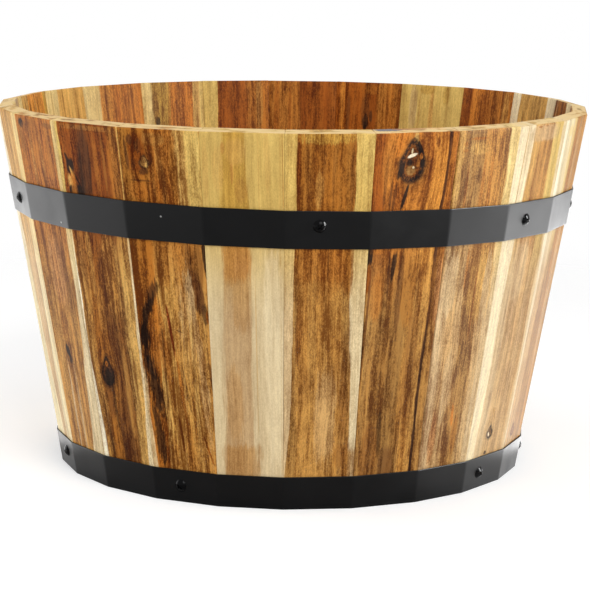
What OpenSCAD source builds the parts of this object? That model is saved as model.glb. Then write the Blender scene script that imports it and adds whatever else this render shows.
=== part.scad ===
// Wooden barrel planter: a tapered tub of flat staves, mitred to each other and
// held by two steel hoops, with a plank base that sits in a groove in the staves.
// +Z is up, the floor is z = 0, the tub's axis is the Z axis and its front faces -Y.
// A turn is an angle about the axis, measured from the front towards +X, the right.

/* [Tub] */
// Width across the corners of the rim's outer edge
top_d = 580; // [520:5:660]
// Width across the corners at the floor
bottom_d = 456; // [400:2:500]
// Height of the rim's outer edge above the floor
height = 350; // [320:5:450]
// Thickness of a stave
stave_t = 15; // [13:0.5:20]
// Hairline between neighbouring staves
stave_gap = 0.2; // [0.1:0.1:0.6]
// Turn of the first joint to the left of the front
first_turn = 1.3; // [0:0.1:8]

/* [Base] */
// Height of the base's underside above the floor
base_z = 30; // [24:1:60]
// Thickness of the base planks
base_t = 14; // [11:1:18]
// Depth of the groove that holds the base, at its lower edge
croze_depth = 6; // [5:0.5:8]
// Play of the base in its groove, above it and round it
croze_play = 0.5; // [0.2:0.1:1.5]
// Gap between neighbouring planks
plank_gap = 2; // [1:0.5:5]
// Diameter of the drain holes
drain_d = 12; // [8:1:20]

/* [Battens] */
// Width of a batten
batten_w = 40; // [30:1:60]
// Thickness of a batten
batten_t = 16; // [12:1:20]
// Distance between the battens' centre lines
batten_spacing = 170; // [120:5:220]
// Space between a batten's ends and the staves
batten_play = 2; // [1:0.5:6]
// Diameter of the batten screws' shanks
batten_screw_d = 4; // [3:0.5:5]
// Diameter of the batten screws' heads
batten_screw_head_d = 8; // [7:0.5:10]
// Length of the batten screws
batten_screw_l = 25; // [20:1:27]
// Distance from a batten's end to its last screw
batten_screw_inset = 15; // [8:1:25]

/* [Hoops] */
// Thickness of the hoops' steel
hoop_t = 1.5; // [1:0.1:2.5]
// Width of the upper hoop
upper_hoop_w = 35; // [28:1:50]
// Height of the upper hoop's lower edge above the floor, at the axis
upper_hoop_z = 247; // [200:1:270]
// How far the upper hoop sits out of level, with its right side low
upper_hoop_tip = 0.8; // [0:0.1:1.5]
// Width of the lower hoop
lower_hoop_w = 32; // [24:1:50]
// Height of the lower hoop's lower edge above the floor
lower_hoop_z = 0; // [0:1:20]
// Length of the lap where a hoop's ends overlap
lap_l = 44; // [36:1:50]
// Hairline between the two layers of a lap
lap_gap = 0.1; // [0.05:0.05:0.3]
// Length over which a hoop's outer end steps up onto its inner end
lap_step = 6; // [4:0.5:8]

/* [Hoop screws] */
// Diameter of the domed heads
screw_head_d = 12; // [9:0.5:14]
// Height of the domed heads
screw_head_h = 3.2; // [2:0.1:4]
// Diameter of the shanks
screw_d = 4; // [3:0.5:5]
// Length of the shanks below the heads
screw_l = 12; // [8:0.5:13]
// Length of each slot of the cross recess
recess_l = 5.5; // [4:0.5:8]
// Width of each slot of the cross recess
recess_w = 1.1; // [0.8:0.1:1.6]
// Depth of the cross recess
recess_depth = 1.8; // [1:0.1:1.9]
// Clearance round a shank in the steel it passes through
screw_play = 0.2; // [0.1:0.05:0.5]
// Clearance round a shank in its hole in the wood
pilot_play = 0.05; // [0.05:0.05:0.2]

/* [Lap rivets] */
// Diameter of the rivets' heads
rivet_head_d = 8; // [6:0.5:10]
// Height of the rivets' heads
rivet_head_h = 1.8; // [1:0.1:2.5]
// Diameter of the rivets' shanks
rivet_d = 4; // [3:0.5:5]
// Distance between the two rivets of a lap
rivet_spacing = 24; // [14:1:26]

/* [Hidden] */
// Widths of the staves at the rim, from the front round to the right. They set
// each stave's share of the round, as the boards are sawn to random widths.
stave_widths = [79, 80, 73, 81, 73, 84, 80, 70, 78, 81, 78, 78,
                78, 78, 86, 72, 84, 84, 73, 76, 79, 80, 75];
stave_count = len(stave_widths);
// Tone of each stave: 0 cream, 1 honey, 2 orange brown, 3 dark red brown
stave_tones = [2, 2, 1, 2, 1, 3, 1, 1, 1, 2, 0, 2,
               2, 1, 1, 2, 0, 1, 1, 2, 3, 2, 0];
tones = [[0.87, 0.73, 0.48], [0.80, 0.58, 0.32], [0.66, 0.41, 0.20], [0.45, 0.25, 0.13]];
hoop_black = [0.11, 0.11, 0.11];
screw_black = [0.06, 0.06, 0.06];
zinc = [0.72, 0.73, 0.75];

// Screws of each hoop: the stave's number, the way from its middle to its right edge
// as a share of that way, and the distance above the hoop's middle
upper_screws = [[1, -0.18, 4], [4, -0.16, 0], [6, 0, -2.5], [9, 0.1, 1], [15, -0.1, 0],
                [19, 0, -1]];
lower_screws = [[4, -0.23, 0], [6, 0, -1], [9, -0.05, 1], [15, 0.1, 0], [19, 0.17, 2],
                [22, -0.16, 0.5]];
// The lap of both hoops lies on this stave, at the back
lap_stave = 12;
// Planks with a drain hole are all but the outer ones
plank_count = 6;

// A length past the tub in every direction, for cutting shapes
far = top_d + height;
// How far a cutting shape runs past a face that it cuts through
overrun = stave_t / 10;
// Facets of a round piece that stays a true circle
round_fn = 96;
rad_b = bottom_d / 2;
flare = (top_d - bottom_d) / 2 / height;

// Turn of the joint to the right of stave i, where joint 0 is left of stave 1
function widths_to(i) = i < 1 ? 0 : stave_widths[i - 1] + widths_to(i - 1);
function joint_turn(i) = 360 * widths_to(i) / widths_to(stave_count) - first_turn;
function mid_turn(i) = (joint_turn(i) + joint_turn(i - 1)) / 2;
function half_turn(i) = (joint_turn(i) - joint_turn(i - 1)) / 2;

// How far stave i leans out, and its outer face's distance from the axis
function lean(i) = atan(flare * cos(half_turn(i)));
function face_r(i, z) = (rad_b + flare * z) * cos(half_turn(i));
function inner_r(i, z) = face_r(i, z) - stave_t / cos(lean(i));

// The tightest inner radius at a height, over all staves
function clear_r(z) = min([for (i = [1:stave_count]) inner_r(i, z)]);

// Base and battens
croze_r = clear_r(base_z) + croze_depth;
base_r = croze_r - croze_play;
plank_w = (2 * base_r - (plank_count - 1) * plank_gap) / plank_count;
batten_z = base_z - batten_t;
batten_x = batten_spacing / 2;
batten_l = 2 * sqrt(pow(clear_r(batten_z) - batten_play, 2) - pow(batten_x + batten_w / 2, 2));
function plank_y(k) = (k - (plank_count + 1) / 2) * (plank_w + plank_gap);
// A screw stands at each plank's middle, or a set distance in from the batten's end
function batten_screw_y(k) =
    sign(plank_y(k)) * min(abs(plank_y(k)), batten_l / 2 - batten_screw_inset);

// Heights of the hoops' middles, and of that middle at stave i on a hoop out of level
upper_hoop_h = upper_hoop_w * cos(lean(1));
lower_hoop_h = lower_hoop_w * cos(lean(1));
upper_mid = upper_hoop_z + upper_hoop_h / 2;
lower_mid = lower_hoop_z + lower_hoop_h / 2;
function level_at(i, z, tip) = z - tan(tip) * face_r(i, z) * sin(mid_turn(i));
// A screw's distance to the right of its stave's middle, and its height
function screw_right(s, mid) = s[1] * (rad_b + flare * mid) * sin(half_turn(s[0]));
function screw_level(s, mid, tip) = level_at(s[0], mid, tip) + s[2];

function stave_name(i) = str("stave_", i < 10 ? "0" : "", i);
function plank_name(k) = str("base_plank_", k);

// Stands children on stave i's outer face: X out of the face, Y right, Z up the slope
module face_frame(i)
    rotate([0, 0, mid_turn(i) - 90]) translate([face_r(i, 0), 0, 0])
        rotate([0, lean(i), 0]) children();

// Stands children on stave i's outer face at height z, with their Z out of the face
module on_face(i, right, z)
    face_frame(i) translate([0, right, z / cos(lean(i))]) rotate([0, 90, 0]) children();

// Everything between the mitre planes of stave i, less half the hairline each side
module sector(i, gap) {
    start = gap / 2 / sin(half_turn(i));
    spread = (far - start) * tan(half_turn(i));
    rotate([0, 0, mid_turn(i) - 90]) linear_extrude(far)
        polygon([[start, 0], [far, -spread], [far, spread]]);
}

// Everything inside stave i's outer face, moved out by a distance
module inside_face(i, out)
    face_frame(i) translate([out - 2 * far, -far, -far]) cube([2 * far, 2 * far, 2 * far]);

module inside_faces(out)
    intersection_for (i = [1:stave_count]) inside_face(i, out);

// A level slab from z up by h, tipped so that its right side is low
module slab(z, h, tip)
    translate([0, 0, z + h / 2]) rotate([0, tip, 0])
        cube([2 * far, 2 * far, h], center = true);

// Pilot holes for the screws of one hoop that go into stave i
module pilot_holes(i, screws, mid, tip)
    for (s = screws) if (s[0] == i)
        on_face(i, screw_right(s, mid), screw_level(s, mid, tip))
            translate([0, 0, hoop_t - screw_l])
            cylinder(d = screw_d + 2 * pilot_play, h = screw_l, $fn = round_fn);

module croze()
    translate([0, 0, base_z]) cylinder(r = croze_r, h = base_t + croze_play, $fn = 2 * round_fn);

module stave(i)
    color(tones[stave_tones[i - 1]]) difference() {
        intersection() {
            face_frame(i) translate([-stave_t, -stave_widths[i - 1], -stave_t])
                cube([stave_t, 2 * stave_widths[i - 1], height / cos(lean(i)) + stave_t]);
            sector(i, stave_gap);
        }
        croze();
        pilot_holes(i, upper_screws, upper_mid, upper_hoop_tip);
        pilot_holes(i, lower_screws, lower_mid, 0);
    }

// A hoop's outer end, which steps up onto the inner end and laps it
module lap() {
    lap_start = -lap_l / 2;
    step_start = lap_start - lap_step;
    outer = hoop_t + lap_gap;
    face_frame(lap_stave) linear_extrude(2 * height, center = true)
        polygon([[0, step_start - hoop_t], [0, step_start], [outer, lap_start],
                 [outer, -lap_start], [outer + hoop_t, -lap_start],
                 [outer + hoop_t, lap_start], [hoop_t, step_start],
                 [hoop_t, step_start - hoop_t]]);
}

// The gap in the ring between its step and the inner end under the lap
module lap_slot()
    face_frame(lap_stave) translate([-hoop_t, -lap_l / 2 - lap_step, -height])
        cube([3 * hoop_t, lap_step + hoop_t, 3 * height]);

// Heights of a lap's holes and rivets on its own stave
function lap_level(mid, tip) = level_at(lap_stave, mid, tip);

module hoop(z, h, tip, screws) {
    mid = z + h / 2;
    color(hoop_black) difference() {
        intersection() {
            union() {
                difference() {
                    inside_faces(hoop_t);
                    inside_faces(0);
                    lap_slot();
                }
                lap();
            }
            slab(z, h, tip);
        }
        for (s = screws)
            on_face(s[0], screw_right(s, mid), screw_level(s, mid, tip))
                translate([0, 0, -hoop_t])
                    cylinder(d = screw_d + 2 * screw_play, h = 3 * hoop_t, $fn = round_fn);
        for (side = [-1, 1])
            on_face(lap_stave, side * rivet_spacing / 2, lap_level(mid, tip))
                translate([0, 0, -hoop_t])
                    cylinder(d = rivet_d + 2 * screw_play, h = 4 * hoop_t, $fn = round_fn);
    }
}

// A low dome of diameter d and height h on the plane z = 0
module dome(d, h) {
    ball_r = (d * d / 4 + h * h) / (2 * h);
    intersection() {
        translate([0, 0, h - ball_r]) sphere(r = ball_r, $fn = round_fn);
        cylinder(d = d, h = h, $fn = round_fn);
    }
}

// A domed screw whose head's underside is the plane z = 0
module hoop_screw()
    difference() {
        union() {
            dome(screw_head_d, screw_head_h);
            translate([0, 0, -screw_l + screw_d / 2])
                cylinder(d = screw_d, h = screw_l - screw_d / 2 + screw_head_h / 2, $fn = round_fn);
            translate([0, 0, -screw_l])
                cylinder(d1 = screw_d / 4, d2 = screw_d, h = screw_d / 2, $fn = round_fn);
        }
        for (turn = [0, 90]) rotate([0, 0, turn + 45])
            translate([-recess_l / 2, -recess_w / 2, screw_head_h - recess_depth])
                cube([recess_l, recess_w, recess_depth + overrun]);
    }

module hoop_screws(screws, mid, tip)
    color(screw_black) for (s = screws)
        on_face(s[0], screw_right(s, mid), screw_level(s, mid, tip))
            translate([0, 0, hoop_t]) hoop_screw();

// Two rivets through both layers of a lap, flush with the stave behind
module hoop_rivets(mid, tip) {
    grip = 2 * hoop_t + lap_gap;
    color(screw_black) for (side = [-1, 1])
        on_face(lap_stave, side * rivet_spacing / 2, lap_level(mid, tip)) {
            cylinder(d = rivet_d, h = grip + rivet_head_h / 2, $fn = round_fn);
            translate([0, 0, grip]) dome(rivet_head_d, rivet_head_h);
        }
}

module upper_hoop() hoop(upper_hoop_z, upper_hoop_h, upper_hoop_tip, upper_screws);
module lower_hoop() hoop(lower_hoop_z, lower_hoop_h, 0, lower_screws);
module upper_hoop_screws() hoop_screws(upper_screws, upper_mid, upper_hoop_tip);
module lower_hoop_screws() hoop_screws(lower_screws, lower_mid, 0);
module upper_hoop_rivets() hoop_rivets(upper_mid, upper_hoop_tip);
module lower_hoop_rivets() hoop_rivets(lower_mid, 0);

// Places children at each batten screw of plank k, with their Z up
module at_batten_screws(k)
    for (side = [-1, 1])
        translate([side * batten_x, batten_screw_y(k), batten_z]) children();

module base_plank(k)
    color(tones[k % 2 + 1]) difference() {
        intersection() {
            translate([0, 0, base_z]) cylinder(r = base_r, h = base_t, $fn = 2 * round_fn);
            translate([-far, plank_y(k) - plank_w / 2, 0]) cube([2 * far, plank_w, far]);
        }
        if (k > 1 && k < plank_count)
            translate([0, plank_y(k), base_z - overrun])
                cylinder(d = drain_d, h = base_t + 2 * overrun, $fn = round_fn);
        at_batten_screws(k)
            cylinder(d = batten_screw_d + 2 * pilot_play, h = batten_screw_l, $fn = round_fn);
    }

// A countersunk screw, point up, with its flat head on the plane z = 0
module batten_screw(play) {
    head_h = (batten_screw_head_d - batten_screw_d) / 2;
    cylinder(d1 = batten_screw_head_d + 2 * play, d2 = batten_screw_d + 2 * play,
             h = head_h, $fn = round_fn);
    cylinder(d = batten_screw_d + 2 * play, h = batten_screw_l - batten_screw_d / 2, $fn = round_fn);
    translate([0, 0, batten_screw_l - batten_screw_d / 2])
        cylinder(d1 = batten_screw_d + 2 * play, d2 = batten_screw_d / 4,
                 h = batten_screw_d / 2, $fn = round_fn);
}

module batten(side)
    color(tones[1]) difference() {
        translate([side * batten_x - batten_w / 2, -batten_l / 2, batten_z])
            cube([batten_w, batten_l, batten_t]);
        for (k = [1:plank_count]) at_batten_screws(k) batten_screw(pilot_play);
    }

module batten_left() batten(-1);
module batten_right() batten(1);

module batten_screws()
    color(zinc) for (k = [1:plank_count]) at_batten_screws(k) batten_screw(0);

for (i = [1:stave_count]) stave(i);
upper_hoop();
lower_hoop();
upper_hoop_screws();
lower_hoop_screws();
upper_hoop_rivets();
lower_hoop_rivets();
for (k = [1:plank_count]) base_plank(k);
batten_left();
batten_right();
batten_screws();
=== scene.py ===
# Looks of the wooden barrel planter: acacia staves with cream sapwood and brown
# heartwood, satin black hoops, glossy screws, and a plank base on battens.
# Metres, +Z up, the front faces -Y. A turn is measured from the front towards +X.
# On a stave, "across" is the distance to the right of its middle, "deep" is the
# distance in from its outer face and "up" is the distance up its slope.

import math
from collections import namedtuple
from inspect import signature

import bpy
import numpy as np
from mathutils import Matrix, Vector, noise


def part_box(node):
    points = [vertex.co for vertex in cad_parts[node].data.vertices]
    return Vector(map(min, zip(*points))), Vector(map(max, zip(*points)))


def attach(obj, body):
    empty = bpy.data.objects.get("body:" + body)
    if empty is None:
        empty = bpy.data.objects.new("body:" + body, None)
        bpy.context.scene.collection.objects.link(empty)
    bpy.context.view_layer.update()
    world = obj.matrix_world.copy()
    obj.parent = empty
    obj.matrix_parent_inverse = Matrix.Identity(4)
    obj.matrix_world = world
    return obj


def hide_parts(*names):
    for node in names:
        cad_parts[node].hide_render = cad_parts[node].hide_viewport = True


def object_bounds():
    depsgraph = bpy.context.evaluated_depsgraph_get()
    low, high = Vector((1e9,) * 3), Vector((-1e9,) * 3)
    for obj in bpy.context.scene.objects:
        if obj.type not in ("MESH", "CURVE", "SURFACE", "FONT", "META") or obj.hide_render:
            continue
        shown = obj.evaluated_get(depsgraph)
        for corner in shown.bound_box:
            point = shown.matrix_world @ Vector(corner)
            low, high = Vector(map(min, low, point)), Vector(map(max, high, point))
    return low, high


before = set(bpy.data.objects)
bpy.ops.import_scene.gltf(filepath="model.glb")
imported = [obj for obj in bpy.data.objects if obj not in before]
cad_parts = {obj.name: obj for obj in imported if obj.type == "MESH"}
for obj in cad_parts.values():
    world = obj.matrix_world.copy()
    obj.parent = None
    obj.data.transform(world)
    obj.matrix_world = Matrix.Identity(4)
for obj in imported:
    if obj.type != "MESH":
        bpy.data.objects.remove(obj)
cad_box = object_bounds()

# ---------------------------------------------------------------- sizes

MM = 0.001
TOP_R = 290 * MM
FOOT_R = 228 * MM
HEIGHT = 350 * MM
STAVE_T = 15 * MM
STAVE_GAP = 0.2 * MM
STAVE_COUNT = 23
BASE_Z = 30 * MM
BASE_T = 14 * MM
CROZE_R = 221.5 * MM
CROZE_PLAY = 0.5 * MM
FLARE = (TOP_R - FOOT_R) / HEIGHT
# Edges that turn by more than this are sharp
SHARP = math.radians(35)

HOOP_T = 1.5 * MM
UPPER_HOOP_W = 35 * MM
UPPER_HOOP_Z = 247 * MM
UPPER_HOOP_TIP = math.radians(0.8)
LOWER_HOOP_W = 32 * MM
LOWER_HOOP_Z = 0.0
LAP_STAVE = 12
LAP_L = 44 * MM
LAP_GAP = 0.1 * MM
LAP_STEP = 6 * MM

# Camera of the photograph, for an image of 590 x 590
CAMERA_PLACE = (2.98 * MM, -2250 * MM, 546.2 * MM)
CAMERA_PITCH = math.radians(9.752)
CAMERA_YAW = math.radians(0.022)
CAMERA_ROLL = math.radians(0.63)
CAMERA_LENS = 139.43
CAMERA_SENSOR = 36
CAMERA_CLIP = (0.01, 100)


def stave_name(i):
    return f"stave_{i:02d}"


class Place:
    """Where a stave stands, read from its node: middle turn, half its angle, lean."""

    def __init__(self, i):
        points = [v.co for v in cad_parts[stave_name(i)].data.vertices]
        low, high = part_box(stave_name(i))
        middle = (low + high) / 2
        self.turn = math.atan2(middle.x, -middle.y)
        # Turned until its outermost points lie as far to the left as to the right
        for _ in range(3):
            off = [math.atan2(p.x * math.cos(self.turn) + p.y * math.sin(self.turn),
                              p.x * math.sin(self.turn) - p.y * math.cos(self.turn))
                   for p in points]
            self.turn += (max(off) + min(off)) / 2
        self.half = (max(off) - min(off)) / 2 + STAVE_GAP / 2 / TOP_R
        self.lean = math.atan(FLARE * math.cos(self.half))
        self.length = HEIGHT / math.cos(self.lean)

    def out(self, deep, up):
        """How far from the tub's axis the stave's middle is."""
        return FOOT_R * math.cos(self.half) - deep * math.cos(self.lean) + up * math.sin(self.lean)

    def turned(self, out, across):
        """The x and y of what lies out from the axis and across the stave."""
        return (out * math.sin(self.turn) + across * math.cos(self.turn),
                -out * math.cos(self.turn) + across * math.sin(self.turn))

    def world(self, across, deep, up):
        """Points of the tub from arrays of across, deep and up."""
        z = deep * math.sin(self.lean) + up * math.cos(self.lean)
        return np.stack([*self.turned(self.out(deep, up), across), z], axis=-1)

    def half_width(self, deep, up):
        return self.out(deep, up) * math.tan(self.half) - STAVE_GAP / 2 / math.cos(self.half)


places = {i: Place(i) for i in range(1, STAVE_COUNT + 1)}

# ---------------------------------------------------------------- boards

# A band of colour runs up a board: its tone at the top and at the foot, the place across,
# in mm, where it ends at the top, half way up and at the foot, and how soft that edge is
Band = namedtuple("Band", "top foot edge_top edge_mid edge_foot soft",
                  defaults=[0, 0, 0, 1.2])
# A mark is a ragged spot or streak: its middle across and up, its half width and half
# height, all in mm, its tone and strength, its lean (across per up) and how boxy it is
Mark = namedtuple("Mark", "x s rx rs tone strength lean box ragged",
                  defaults=[0.6, 0.0, 2.0, 0.35])
# A knot pushes the grain round itself and has a core in a halo
Knot = namedtuple("Knot", "x s rx rs core halo push", defaults=[0.75])
# A dent lowers the outer face by a depth, and a wane takes wood off one edge
Dent = namedtuple("Dent", "x s rx rs depth")
Wane = namedtuple("Wane", "side low high back deep")


class Board:
    """The looks of one stave. Its bands go from left to right, the last one with no edge,
    and its marks lie one over the other. Its grain is how strongly its fibres and streaks
    show. Its knot overlays are marks on top of its knots, and its end marks are marks on
    its end grain, by depth in place of height."""

    def __init__(self, bands, marks=(), knots=(), dents=(), wanes=(), grain=1.0, chips=(),
                 stains=()):
        self.bands = [Band(*b) for b in bands]
        self.marks = [Mark(*m) for m in marks]
        self.knots = [Knot(*k) for k in knots]
        self.dents = [Dent(*d) for d in dents]
        self.wanes = [Wane(*w) for w in wanes]
        self.grain = grain
        self.chips = [Mark(*m) for m in chips]
        self.stains = [Mark(*m) for m in stains]


LEFT, RIGHT = -1, 1

# Tones of the boards, as sRGB, from pale sapwood to dark heartwood
BONE = (248, 230, 194)
IVORY = (240, 217, 172)
WHEAT = (238, 208, 152)
PALE = (228, 206, 158)
CREAM = (220, 194, 148)
SAND = (208, 174, 126)
BUTTER = (230, 196, 126)
STRAW = (212, 174, 95)
HONEY = (202, 152, 80)
MAIZE = (220, 166, 86)
COPPER = (206, 134, 54)
GOLD = (186, 141, 62)
BISCUIT = (196, 159, 112)
FAWN = (186, 145, 94)
CLAY = (184, 128, 78)
TAN = (176, 122, 58)
TEAK = (156, 110, 56)
AMBER = (180, 107, 38)
CARAMEL = (164, 98, 36)
CHESTNUT = (148, 90, 32)
HAZEL = (142, 97, 46)
RUSSET = (141, 74, 22)
WALNUT = (125, 76, 31)
SIENNA = (122, 61, 17)
COCOA = (90, 50, 22)
UMBER = (66, 38, 20)
BLACK = (34, 22, 15)
RUST = (142, 58, 26)
SLATE = (112, 114, 128)

# The boards, by their staves' numbers, from the front one round to the right. The same
# bands and marks show on a board's outer and inner face
BOARDS = {}
BOARDS[1] = Board(
    [(STRAW, SAND, -29, -27, -30.5, 1), (CHESTNUT, TEAK, -25, -23.5, -27.5, 2.5),
     (CHESTNUT, TAN, 14, 15, 17, 5), (CHESTNUT, TEAK, 23.5, 23.5, 28.5, 1.4), (STRAW, CREAM)],
    [(-2, 352, 25, 6, GOLD, 0.7, 0, 3, 0.8), (-26.5, 325, 1.6, 26, SIENNA, 0.8, 0, 3),
     (21, 318, 2, 32, WALNUT, 0.6, 0, 3), (-4, 320, 1.6, 26, WALNUT, 0.4), (4, 318, 1.4, 26, WALNUT, 0.4),
     (-8, 305, 4, 18, HONEY, 0.35), (-2, 238, 25, 19, CARAMEL, 0.5, 0, 8),
     (20, 236, 5, 30, CHESTNUT, 0.7, 0, 3), (14, 190, 8, 22, HONEY, 0.35, 0, 3),
     (-22, 170, 3, 30, SIENNA, 0.5), (20, 110, 3.5, 45, WALNUT, 0.5), (-15, 120, 6, 20, WALNUT, 0.35),
     (4, 90, 10, 45, FAWN, 0.5, 0, 3), (-24, 60, 4, 30, HAZEL), (18, 52, 6, 12, WALNUT, 0.5),
     (25, 46, 4.5, 22, WALNUT, 0.65, 0, 3), (2, 236, 0.8, 16, COCOA), (30, 45, 6, 14, TAN, 0.6, 0, 3)],
    grain=1.0)
BOARDS[2] = Board(
    [(TAN, COCOA, -38.3, -36.4, -30.6, 0.8), (RUSSET, TEAK, -24, -22, -20, 5),
     (AMBER, HAZEL, 10, 9, 8, 7), (COPPER, TAN, 27.5, 26, 22, 1.2), (COCOA, UMBER, 31, 28.6, 24.6, 1),
     (CARAMEL, TEAK)],
    [(-16, 296, 12, 16, SIENNA, 0.5, 0.2), (-27, 312, 1.6, 26, COCOA, 0.6, 0.02),
     (-21, 300, 1.4, 16, COCOA, 0.7, 0.03), (-17.5, 296, 1.6, 14, COCOA, 0.7, 0.08),
     (-7.5, 297, 1.7, 13, BLACK, 0.95, 0.22), (12, 296, 3, 16, SIENNA, 0.5, 0.1),
     (20.5, 346, 1.6, 5, SIENNA, 0.85), (15.5, 322, 1.6, 16, RUSSET, 0.8, 0.06),
     (-1, 348, 2.6, 9, HONEY, 0.8), (-25, 330, 8, 22, CARAMEL, 0.5),
     (29, 205, 2.6, 34, WALNUT, 0.6, 0, 3), (-12, 234, 2.4, 17, BLACK, 0.9, 0.06),
     (-16, 226, 1.4, 26, COCOA, 0.7, -0.03), (-4, 205, 3, 44, COCOA),
     (8, 208, 10, 34, CHESTNUT, 0.6, 0, 3), (16, 190, 5, 40, TAN), (34, 205, 3, 34, CLAY, 0.7, 0, 3),
     (-36, 243, 3.2, 9, BLACK, 0.95), (-35, 222, 2.4, 14, SIENNA, 0.9),
     (-20, 252, 16, 8, CARAMEL, 0.6, 0, 4), (-26, 205, 7, 22, CARAMEL, 0.5, 0, 3),
     (-34, 170, 1.2, 60, COCOA, 0.8, 0.02, 4), (-12, 150, 6, 40, HAZEL, 0.4),
     (-11, 72, 2.2, 26, BLACK, 0.6, -0.04), (-20, 50, 9, 34, WALNUT, 0.7), (-2, 38, 8, 22, COCOA, 0.65),
     (9, 125, 1.6, 80, WALNUT, 0.5, 0.01), (14, 135, 5, 60, WALNUT, 0.6, 0, 4)],
    knots=[(-3.4, 330, 12, 19.5, RUSSET, BLACK, 0.75)],
    dents=[(-4, 328, 9, 14, 0.8)],
    wanes=[(LEFT, 25, 262, 1.2, 2.5), (RIGHT, 60, 356, 0.7, 1.2)],
    grain=1.05,
    # Marks over the knot: dark spots, tones, and pale BONE and PALE spots inside it
    chips=[(-13, 322, 2.8, 9, BLACK, 0.9, 0.35), (4.2, 340, 1.9, 9, BLACK, 0.95, -0.45),
           (6.5, 328, 2.2, 4.5, BLACK, 0.95), (-5.5, 328, 2.6, 3.5, BLACK, 0.9),
           (5, 334, 1.6, 3, AMBER, 0.9), (2.5, 327, 1.6, 4, CARAMEL, 0.8), (-4, 321, 4.5, 4.5, TEAK, 0.8),
           (-1.5, 323.5, 1, 1.2, PALE, 0.9), (-3.4, 334.5, 3.4, 2.4, BONE, 1, 1.3, 2, 0.1),
           (-3.9, 338.5, 0.8, 3, PALE, 0.9)],
    # Marks on the end grain: a grey-blue spot and a clay one
    stains=[(-21, 11, 16, 4.5, SLATE, 0.9), (-4, 12, 12, 2.5, CLAY)])
BOARDS[3] = Board(
    [(TEAK, BISCUIT, -24, -23, -20, 4), (TEAK, FAWN, -2, -3, -3, 5), (TAN, TEAK, 17, 16, 13, 5),
     (TAN, FAWN, 25.5, 25, 22, 1.8), (BUTTER, SAND)],
    [(-32, 325, 4, 40, HONEY, 0.6, 0, 4), (-12, 347.5, 10, 1.4, CARAMEL, 0.8, 0, 2.5),
     (-27, 343, 3, 2.2, CHESTNUT, 0.7), (-27, 337, 3, 1.6, CARAMEL), (-10, 338, 12, 6, HONEY, 0.5),
     (16, 338, 2, 16, WALNUT, 0.8, 0.03), (20, 312, 1.6, 20, WALNUT, 0.6, 0.02),
     (-1, 305, 2, 30, CARAMEL, 0.5), (8, 308, 2, 30, CARAMEL, 0.5), (-20, 300, 2, 24, CARAMEL, 0.5),
     (14, 208, 14, 34, HONEY, 0.85, 0, 3), (22, 205, 4, 36, SAND, 0.7, 0, 3),
     (-22, 212, 7, 30, SAND, 0.6, 0, 3), (3, 215, 3, 30, HONEY, 0.5), (-5, 225, 1.6, 22, CARAMEL, 0.7),
     (9, 190, 1.4, 40, CARAMEL), (3.5, 82, 1.8, 13, AMBER, 0.9, -0.05), (-5, 84, 4.5, 9, HAZEL, 0.8),
     (-1, 60, 5, 14, HAZEL, 0.7), (0, 40, 5, 12, TEAK, 0.7), (9, 62, 4, 20, CHESTNUT, 0.7),
     (-18, 62, 4, 28, CLAY, 0.8), (-10, 110, 5, 40, SAND, 0.5), (14, 110, 3, 50, TEAK)],
    dents=[(-29, 200, 3, 80, 0.5)],
    wanes=[(LEFT, 200, 356, 1.7, 7), (LEFT, 20, 205, 1, 5)],
    grain=1.25)
BOARDS[4] = Board(
    [(IVORY, IVORY, -14, -19, -19, 2.5), (HONEY, SAND, -2, -8, -6, 6), (TAN, FAWN, 22, 20, 18, 5),
     (STRAW, FAWN, 35.5, 33, 28, 1.4), (CREAM, SAND)],
    [(-27, 300, 0.7, 60, HONEY, 0.8, 0.02, 4), (-20, 330, 5, 22, SAND, 0.5),
     (4, 347, 24, 8, BISCUIT, 0.7, 0, 4), (-6, 353, 3, 1.1, CHESTNUT, 0.8),
     (5, 353.5, 2.5, 1.1, CHESTNUT, 0.7), (2, 305, 3, 26, TEAK, 0.55), (14, 312, 1.6, 30, TEAK, 0.5),
     (0, 215, 14, 30, SAND, 0.6, 0, 3), (16, 210, 2, 36, FAWN), (1.5, 68, 4.5, 12, TEAK, 0.85),
     (1, 58, 7, 18, FAWN), (-0.4, 34.4, 2, 2, UMBER, 0.95), (14, 130, 3, 60, FAWN, 0.5),
     (-10, 140, 2, 60, FAWN, 0.5)],
    knots=[(2.2, 55, 4.6, 6.5, HAZEL, BLACK, 0.5)],
    dents=[(2.2, 54, 3.2, 4.6, 1.2)],
    grain=0.8,
    chips=[(1.8, 52.5, 1.6, 2, BONE, 0.95)])
BOARDS[5] = Board(
    [(BONE, CREAM, -27, -25, -26, 1.4), (PALE, FAWN, -8, -7, -6, 6), (BUTTER, TEAK, 2, 2, 2, 6),
     (TAN, TEAK)],
    [(-14, 344, 8, 6, BUTTER, 0.7), (10, 320, 2.5, 50, CARAMEL), (18, 320, 5, 60, FAWN, 0.6, 0, 3),
     (-16, 300, 6, 40, SAND, 0.4), (12, 200, 2, 90, CARAMEL, 0.4), (20, 190, 5, 90, BISCUIT, 0.5)],
    knots=[(-7, 46.6, 4.6, 6, CLAY, COCOA, 0.4)],
    grain=0.65)
BOARDS[6] = Board(
    [(HONEY, CREAM, -20, -18, -16, 2), (TEAK, FAWN, 24, 22, 18, 3), (CREAM, PALE)],
    [(6, 150, 2, 60, CHESTNUT)])
BOARDS[7] = Board(
    [(PALE, CREAM, -26, -25, -20, 1.5), (CHESTNUT, HAZEL, -8, -7, -6, 4), (CHESTNUT, TEAK, 10, 10, 8, 2),
     (IVORY, PALE)],
    [(-14, 120, 2.4, 50, COCOA, 0.7, 0.03), (2, 330, 1.2, 30, SAND), (6, 320, 1.2, 40, COCOA, 0.5)])
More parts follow.
